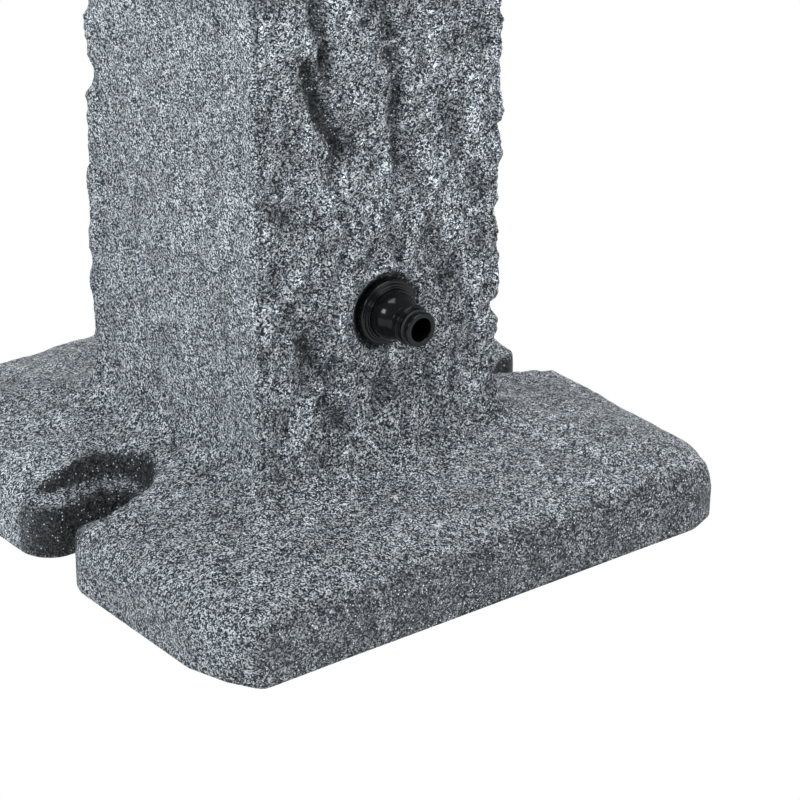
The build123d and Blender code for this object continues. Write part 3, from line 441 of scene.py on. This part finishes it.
# painted shade: darkens the colour in the inlet's recess, on the slot walls and ledges, on the
# foot's rear side and on rear-facing faces
def footShade(x, y, z, normal, post):  # the inlet's recess, the slots and the foot's rear side
    shade = 0.0
    if y > seats["faceFrom"]:
        shade += shades["recess"] * (1 - smooth(*seats["inletRecess"], fromSeat("inlet", x, z)))
    if abs(x) > seats["slotFrom"] and 1 < z < seats["footTop"]:
        slot = shades["slotWall"] * smooth(0.9, 0.5, normal.z)
        slot += shades["slotLedge"] * smooth(30, 26, z)
        slot *= 1 - 0.75 * smooth(110, 134, abs(x)) - 0.5 * smooth(100, 84, abs(x))
        shade += slot * (1 - smooth(*shades["slotHalf"], abs(y - seats["slotMiddle"])))
    calm = 1 - post
    # painted shade on the foot's rear side and on faces that look rearwards, darker towards the
    # bottom
    shade += calm * shades["footRear"] * smooth(-10, 60, y) * (1 - 0.2 * smooth(60, 120, x))
    low = shades["rearRise"] * calm + shades["rearLow"] * smooth(150, 70, z)
    return shade + smooth(0.3, 0.8, normal.y) * low


# height in mm over the CAD surface, how much painted shade darkens the colour there and how uneven
# it is
def stoneRelief(point, normal):
    x, y, z = (c * 1000 for c in point)
    spot = Vector((x, y, z))
    post = smooth(*relief["postHeight"], z)
    rear, front = (smooth(*relief["faceTurn"], turn) for turn in (normal.y, -normal.y))
    left, side = (smooth(*relief["faceTurn"], turn) for turn in (normal.x, -normal.x))
    struck = max(rear, relief["frontShare"] * front, relief["sideShare"] * side)
    vigour = relief["vigour"] + relief["struckVigour"] * struck - relief["calmVigour"] * left

    broken, shade = brokenRelief(spot, vigour)
    streaks = streakField(spot)
    creases = creaseField(x, y, z)
    fine = noise.fractal(spot / relief["fineSize"], 0.7, 2.2, 3)
    rolling = noise.fractal(spot / relief["footSize"], 0.85, 2.1, 4)
    height = relief["swell"] + broken + struck * relief["streakRise"] * streaks
    height = post * (height + arrisRelief(x, y, z))
    height += relief["fine"] * fine * (0.5 + 0.8 * post * struck)
    height += (1 - post) * relief["footRelief"] * rolling - creases * relief["crease"]
    # painted shade in the troughs of the streaks and in the creases
    shade = post * (shade - shades["sunkStreak"] * struck * min(0.0, streaks))
    shade += shades["crease"] * creases
    # the rear cracks are cut into the surface and get painted shade according to their depth
    if rear > 0 and z < relief["crackBelow"]:
        jitter = noise.noise_vector(spot / 12.0) * 2.0 + noise.noise_vector(spot / 4.0) * 1.2
        crack = strokeDepth(x + jitter.x, z + jitter.z) * rear
        height -= crack
        shade += relief["crackShade"] * crack
    shade += footShade(x, y, z, normal, post)
    return height * keepClear(x, y, z), shade, 0.3 + vigour * (0.6 + 0.4 * post)


def fromSeat(name, across, z):
    return hypot(across - seats[name][0], z - seats[name][1])


# 1 where relief may stand, 0 at the seats of the fittings and on the ground
def keepClear(x, y, z):
    free = smooth(*seats["ground"], z)
    if y > seats["faceFrom"]:
        free *= smooth(*seats["inletClear"], fromSeat("inlet", x, z))
    if y < -seats["faceFrom"]:
        free *= smooth(*seats["tapClear"], fromSeat("tap", x, z))
    if abs(x) > 50 and z > 890:
        free *= smooth(*seats["screwClear"], fromSeat("capScrew", abs(y), z))
    if abs(x) > seats["slotFrom"] and z < seats["footTop"]:
        beside = smooth(*seats["slotClear"], abs(y - seats["slotMiddle"]))
        free *= seats["slotRelief"] + (1 - seats["slotRelief"]) * beside
    return free


# meshes of the skins, in metres
skin = {
    "columnVoxel": 0.0029,
    "capVoxel": 0.0020,
    "smoothing": 1,
    "finer": (0.055, 0.045, 0.30),  # the rear face has a finer mesh: from y, from z and up to z
    "joint": 0.935,  # height of the joint between post and cap
    "jointGap": 0.0004,
    "spare": 0.006,  # a little longer at first, so that the cuts leave crisp rims
    "coverSeat": 0.0075,
    "footRise": 0.0625,
    "innerReach": 0.0575,
}


def growIsland(seed, stops):
    found, queue = {seed}, [seed]
    while queue:
        face = queue.pop()
        for edge in face.edges:
            for other in edge.link_faces:
                if other not in found and not stops(other):
                    found.add(other)
                    queue.append(other)
    return list(found)


def stopsInner(face):
    low = min(v.co.z for v in face.verts)
    if low < skin["coverSeat"] or low > skin["joint"] - 0.0001:
        return True
    reach = max(max(abs(v.co.x), abs(v.co.y)) for v in face.verts)
    return low > skin["footRise"] and reach > skin["innerReach"]


def stopsCap(face):
    return max(v.co.z for v in face.verts) < skin["joint"] + 0.00005


# cuts at a level, keeps one side and closes the cut round its hollows
def cutFlat(bm, height, upwards):
    cut = bmesh.ops.bisect_plane(
        bm,
        geom=bm.verts[:] + bm.edges[:] + bm.faces[:],
        dist=1e-7,
        plane_co=(0, 0, height),
        plane_no=(0, 0, 1 if upwards else -1),
        clear_inner=True,
    )
    rim = [e for e in cut["geom_cut"] if isinstance(e, bmesh.types.BMEdge)]
    bmesh.ops.triangle_fill(bm, edges=rim, use_beauty=True, normal=(0, 0, -1 if upwards else 1))


def outerShell(node, innerWay, stops, bottom, top):  # the node's outside alone, closed
    bm = bmesh.new()
    bm.from_mesh(nodes[node].data)
    bmesh.ops.remove_doubles(bm, verts=bm.verts, dist=2e-6)
    # the face of the space inside that lies farthest out this way and looks back
    inner = [f for f in bm.faces if f.normal.dot(innerWay) < -0.98 and not stops(f)]
    seed = max(inner, key=lambda f: f.calc_center_median().dot(innerWay))
    bmesh.ops.delete(bm, geom=growIsland(seed, stops), context="FACES")
    if bottom:  # the skirt under the cap goes
        cutFlat(bm, bottom, True)
    rims = [e for e in bm.edges if e.is_boundary]
    bmesh.ops.holes_fill(bm, edges=rims, sides=0)
    bmesh.ops.triangulate(bm, faces=bm.faces)
    for v in bm.verts:
        if abs(v.co.z - bottom) < 0.0001:
            v.co.z -= skin["spare"]
        if top and abs(v.co.z - top) < 0.0001:
            v.co.z += skin["spare"]
    return bm


def remeshed(bm, name, voxel):
    mesh = bpy.data.meshes.new(name)
    bm.to_mesh(mesh)
    bm.free()
    rough = bpy.data.objects.new(name, mesh)
    bpy.context.scene.collection.objects.link(rough)
    remesh = rough.modifiers.new("remesh", "REMESH")
    remesh.mode = "VOXEL"
    remesh.voxel_size = voxel
    depsgraph = bpy.context.evaluated_depsgraph_get()
    dense = bpy.data.meshes.new_from_object(rough.evaluated_get(depsgraph))
    bpy.data.objects.remove(rough)
    bm = bmesh.new()
    bm.from_mesh(dense)
    rearFrom, low, high = skin["finer"]
    rear = set()
    for face in bm.faces:
        middle = face.calc_center_median()
        if middle.y > rearFrom and low < middle.z < high:
            rear.update(face.edges)
    bmesh.ops.subdivide_edges(bm, edges=list(rear), cuts=1, use_grid_fill=True)
    for _ in range(skin["smoothing"]):
        bmesh.ops.smooth_vert(
            bm, verts=bm.verts, factor=0.5, use_axis_x=True, use_axis_y=True, use_axis_z=True
        )
    bm.normal_update()
    return bm


def carve(bm):
    for key in ("paintedShade", "uneven"):
        bm.verts.layers.float.new(key)
    paintedShadeLayer, unevens = (bm.verts.layers.float[key] for key in ("paintedShade", "uneven"))
    moves = []
    for v in bm.verts:
        height, paintedShade, uneven = stoneRelief(v.co, v.normal)
        moves.append(v.normal * (height * mm))
        # the painted shade is stored in a vertex attribute that darkens the granite colour
        v[paintedShadeLayer] = min(1.0, max(0.0, paintedShade))
        v[unevens] = uneven
    low, high = cadBox
    for v, move in zip(bm.verts, moves):
        v.co += move
        v.co.x = min(high.x, max(low.x, v.co.x))
        v.co.y = min(high.y, max(low.y, v.co.y))
        v.co.z = min(high.z, v.co.z)


def makeSkin(name, node, voxel, innerWay, stops, bottom, top):
    bm = remeshed(outerShell(node, innerWay, stops, bottom, top), name + "Rough", voxel)
    carve(bm)
    cutFlat(bm, bottom + (skin["jointGap"] if bottom else 0), True)
    if top:
        cutFlat(bm, top - skin["jointGap"], False)
    for v in bm.verts:
        v.co.z = max(cadBox[0].z, v.co.z)
    for face in bm.faces:
        face.smooth = abs(face.normal.z) < 0.999 or face.calc_area() < 1e-5
    mesh = bpy.data.meshes.new(name)
    bm.to_mesh(mesh)
    bm.free()
    piece = bpy.data.objects.new(name, mesh)
    bpy.context.scene.collection.objects.link(piece)
    piece.data.materials.append(graniteMaterial)
    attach(piece, "post")
    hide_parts(node)
    mesh.calc_loop_triangles()
    print(name, "has", len(mesh.loop_triangles), "triangles")


# plastics and rubbers: color, roughness, grain per metre, its rise in metres, specular level
plastics = {
    "blackPlastic": ((0.003, 0.003, 0.0034), 0.12, 900.0, 0.00002, 0.27),
    "gripPlastic": ((0.022, 0.022, 0.024), 0.55, 1500.0, 0.00012, 0.5),
    "coverPlastic": ((0.09, 0.092, 0.096), 0.5, 1200.0, 0.00008, 0.5),
    "seatPlastic": ((0.78, 0.78, 0.76), 0.35, 800.0, 0.00002, 0.5),
    "softRubber": ((0.02, 0.02, 0.021), 0.6, 1100.0, 0.00004, 0.5),
    "hoseRubber": ((0.03, 0.034, 0.04), 0.5, 700.0, 0.00006, 0.5),
}

# metals: color, roughness, stretch of the tool marks, their rise in metres, dulling
metals = {
    "chromePlate": ((0.80, 0.81, 0.83), 0.09, (1, 1, 1), 0.000006, 0.06),
    "brushedSteel": ((0.58, 0.58, 0.59), 0.30, (1, 6, 6), 0.00002, 0.12),
    "turnedBrass": ((0.70, 0.52, 0.25), 0.24, (1, 1, 4), 0.00002, 0.2),
}

dressing = {
    "blackPlastic": (
        "inlet_connector", "inlet_elbow", "inlet_lock_nut", "inlet_washer", "outlet_connector",
    ),
    "softRubber": (
        "inlet_oring", "outlet_oring", "inlet_gasket", "tap_gasket", "outlet_washer",
    ),
    "hoseRubber": ("riser_hose",),
    "coverPlastic": ("base_cover",),
    "gripPlastic": ("lever_grip",),
    "seatPlastic": ("ball_seats", "stem_packing"),
    "chromePlate": ("tap_rosette", "tap_tailpiece", "tap_body", "tap_ball", "gland_nut"),
    "brushedSteel": (
        "cap_screws", "base_cover_screws", "clamp_screws", "lower_clamp", "upper_clamp",
        "lever_nut", "tap_lever",
    ),
    "turnedBrass": ("tap_bulkhead", "tap_lock_nut", "tap_stem"),
}


def makePlastic(name, color, rough, grainCount, grainRise, specular):
    material, tree, shader = newMaterial(name)
    here = place(tree)
    cloudy = noiseField(tree, here, 60.0, 3.0)
    dark, light = ((*[c * share for c in color], 1) for share in (0.85, 1.18))
    tree.links.new(mixColor(tree, cloudy, dark, light), shader.inputs["Base Color"])
    smears = noiseField(tree, here, 220.0, 4.0)
    roughnessBetween(tree, shader, smears, rough * 0.8, rough * 1.25)
    bump(tree, shader, noiseField(tree, here, grainCount, 2.0), grainRise)
    shader.inputs["Specular IOR Level"].default_value = specular
    return material


def makeMetal(name, color, rough, stretch, rise, dulling):
    material, tree, shader = newMaterial(name)
    shader.inputs["Metallic"].default_value = 1.0
    smudge = noiseField(tree, place(tree), 45.0, 4.0)
    dark = (*[c * (1 - dulling) for c in color], 1)
    tree.links.new(mixColor(tree, smudge, dark, (*color, 1)), shader.inputs["Base Color"])
    roughnessBetween(tree, shader, smudge, rough * 0.75, rough * 1.3)
    marks = place(tree, stretch)
    bump(tree, shader, noiseField(tree, marks, 700.0, 3.0), rise)
    return material


def dressNodes(finishes):
    for finish, names in dressing.items():
        for name in names:
            materials = nodes[name].data.materials
            materials.clear()
            materials.append(finishes[finish])


# the hose spigot, turned, with the soft edges of a moulding
spigot = {
    "steps": 96,
    "arcSteps": 4,
    "domeSteps": 14,
    "domeCentre": 21.1,  # mm back from the tip's end, as all lengths along it
    "domeRadius": 11.6,
    "neckRadius": 6.9,
    "neckRounding": 1.6,
    # along, radius and rounding, from the tip back to the neck
    "tip": (
        (0.0, 5.3, 0.5), (0.0, 7.9, 0.8), (2.8, 7.9, 0.2), (2.8, 5.9, 0.1),
        (5.3, 5.9, 0.1), (5.3, 7.9, 0.2), (6.5, 7.9, 0.35), (6.5, 9.0, 0.5),
        (7.9, 9.0, 0.5), (7.9, 6.9, 0.6),
    ),
    # from the dome back to the shank inside the wall
    "flange": (
        (21.1, 12.3, 0.3), (22.0, 12.3, 0.3), (22.0, 13.3, 0.35), (23.0, 13.3, 0.3),
        (23.0, 15.0, 0.9), (27.5, 15.0, 0.3), (27.5, 10.4, 0.2),
    ),
    "flangeEnd": 27.5,
    "shankRadius": 10.4,
    "shankBore": 5.5,
    "tipBore": 5.3,
}


def roundedLine(corners, steps):  # points of a closed outline whose corners are rounded
    points = []
    count = len(corners)
    for index, (along, radius, rounding) in enumerate(corners):
        here = Vector((along, radius))
        before = Vector(corners[index - 1][:2]) - here
        after = Vector(corners[(index + 1) % count][:2]) - here
        reach = min(rounding, before.length * 0.45, after.length * 0.45)
        if reach < 0.02:
            points.append(here)
            continue
        start = here + before.normalized() * reach
        end = here + after.normalized() * reach
        for step in range(steps + 1):
            t = step / steps
            points.append(start * (1 - t) ** 2 + here * (2 * t * (1 - t)) + end * t * t)
    return points


def spigotCorners(length):
    corners = list(spigot["tip"])
    centre, dome = spigot["domeCentre"], spigot["domeRadius"]
    first = asin(spigot["neckRadius"] / dome)
    for step in range(spigot["domeSteps"] + 1):
        angle = first + (pi / 2 - first) * step / spigot["domeSteps"]
        rounding = 0.0 if step else spigot["neckRounding"]
        corners.append((centre - dome * cos(angle), dome * sin(angle), rounding))
    return corners + list(spigot["flange"]) + [
        (length, spigot["shankRadius"], 0.5),
        (length, spigot["shankBore"], 0.4),
        (spigot["flangeEnd"], spigot["shankBore"], 0.1),
        (spigot["flangeEnd"], spigot["tipBore"], 0.1),
    ]


def makeSpigot():
    low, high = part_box("inlet_connector")
    middle = (low + high) / 2
    line = roundedLine(spigotCorners((high.y - low.y) / mm), spigot["arcSteps"])
    bm = bmesh.new()
    rim = [
        bm.verts.new((middle.x + point.y * mm, high.y - point.x * mm, middle.z)) for point in line
    ]
    edges = [bm.edges.new((a, b)) for a, b in zip(rim, rim[1:] + rim[:1])]
    bmesh.ops.spin(
        bm,
        geom=rim + edges,
        cent=(middle.x, 0, middle.z),
        axis=(0, 1, 0),
        angle=2 * pi,
        steps=spigot["steps"],
        use_merge=True,
    )
    bmesh.ops.remove_doubles(bm, verts=bm.verts, dist=2e-6)
    bmesh.ops.recalc_face_normals(bm, faces=bm.faces)
    for edge in bm.edges:
        if len(edge.link_faces) == 2 and edge.calc_face_angle() > 0.6:
            edge.smooth = False
    for face in bm.faces:
        face.smooth = True
    mesh = bpy.data.meshes.new("inletSpigot")
    bm.to_mesh(mesh)
    bm.free()
    piece = bpy.data.objects.new("inletSpigot", mesh)
    bpy.context.scene.collection.objects.link(piece)
    mesh.materials.append(finishes["blackPlastic"])
    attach(piece, "post")
    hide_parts("inlet_connector")
    print("spigot turned")


# the studio
studio = {
    "ambient": 0.44,
    "tint": (0.92, 0.965, 1.0),
    "aim": (0, 0, 0.2),
    # lamps: metres to the view's right, towards it and up, then size, power and color
    "lamps": {
        "keyLamp": (-1.75, 2.1, 1.5, 0.9, 33.0, (0.86, 0.945, 1.0)),
        "fillLamp": (2.0, 1.3, 1.0, 1.2, 33.0, (0.92, 0.965, 1.0)),
        "topLamp": (0.0, 0.3, 2.6, 1.2, 22.0, (0.92, 0.965, 1.0)),
        "farLamp": (0.9, -2.3, 1.6, 1.0, 18.0, (0.92, 0.965, 1.0)),
    },
    "floorRadius": 9.0,
    "floorDrop": 0.0003,
    "floorColor": (0.93, 0.93, 0.93, 1),
    "floorRoughness": 0.9,
}


def rayKinds(tree):
    path = addNode(tree, "ShaderNodeLightPath")
    return mathNode(
        tree, "MAXIMUM", path.outputs["Is Camera Ray"], path.outputs["Is Transmission Ray"]
    )


def makeWorld():
    world = bpy.data.worlds.new("studioWorld")
    bpy.context.scene.world = world
    world.use_nodes = True
    tree = world.node_tree
    background = tree.nodes["Background"]
    whiteness = rayKinds(tree)
    sky = mixColor(tree, whiteness, (*studio["tint"], 1), (1, 1, 1, 1))
    tree.links.new(sky, background.inputs["Color"])
    inputs = {"Value": whiteness, "To Min": studio["ambient"], "To Max": 1.0}
    strength = addNode(tree, "ShaderNodeMapRange", inputs).outputs["Result"]
    tree.links.new(strength, background.inputs["Strength"])


def makeFloor():
    bm = bmesh.new()
    bmesh.ops.create_circle(bm, cap_ends=True, segments=96, radius=studio["floorRadius"])
    bmesh.ops.translate(bm, verts=bm.verts, vec=(0, 0, -studio["floorDrop"]))
    mesh = bpy.data.meshes.new("floor")
    bm.to_mesh(mesh)
    bm.free()
    floor = bpy.data.objects.new("floor", mesh)
    bpy.context.scene.collection.objects.link(floor)
    material, tree, shader = newMaterial("paleFloor")
    shader.inputs["Base Color"].default_value = studio["floorColor"]
    shader.inputs["Roughness"].default_value = studio["floorRoughness"]
    glow = addNode(tree, "ShaderNodeEmission", {"Color": (1, 1, 1, 1), "Strength": 1.0})
    inputs = {0: rayKinds(tree), 1: shader.outputs["BSDF"], 2: glow.outputs[0]}
    mixed = addNode(tree, "ShaderNodeMixShader", inputs)
    output = next(n for n in tree.nodes if n.type == "OUTPUT_MATERIAL")
    tree.links.new(mixed.outputs[0], output.inputs["Surface"])
    mesh.materials.append(material)


def makeLamps(right, back):
    aim = Vector(studio["aim"])
    front = Vector((back.x, back.y, 0)).normalized()
    for name, (across, towards, height, size, power, color) in studio["lamps"].items():
        data = bpy.data.lights.new(name, "AREA")
        data.shape = "SQUARE"
        data.size = size
        data.energy = power
        data.color = color
        lamp = bpy.data.objects.new(name, data)
        lamp.location = aim + right * across + front * towards + up * height
        lamp.rotation_euler = (lamp.location - aim).to_track_quat("Z", "Y").to_euler()
        bpy.context.scene.collection.objects.link(lamp)


bpy.context.scene.view_settings.view_transform = "Standard"
rightWay, backWay = makeCamera()
makeWorld()
makeFloor()
makeLamps(rightWay, backWay)
print("camera and studio made")

graniteMaterial = makeGranite()
finishes = {name: makePlastic(name, *settings) for name, settings in plastics.items()}
finishes.update({name: makeMetal(name, *settings) for name, settings in metals.items()})
dressNodes(finishes)
print("finishes made")

makeSpigot()
sideways = Vector((1, 0, 0))
joint = skin["joint"]
makeSkin("columnSkin", "column_shell", skin["columnVoxel"], sideways, stopsInner, 0, joint)
makeSkin("capSkin", "top_cap", skin["capVoxel"], up, stopsCap, joint, None)
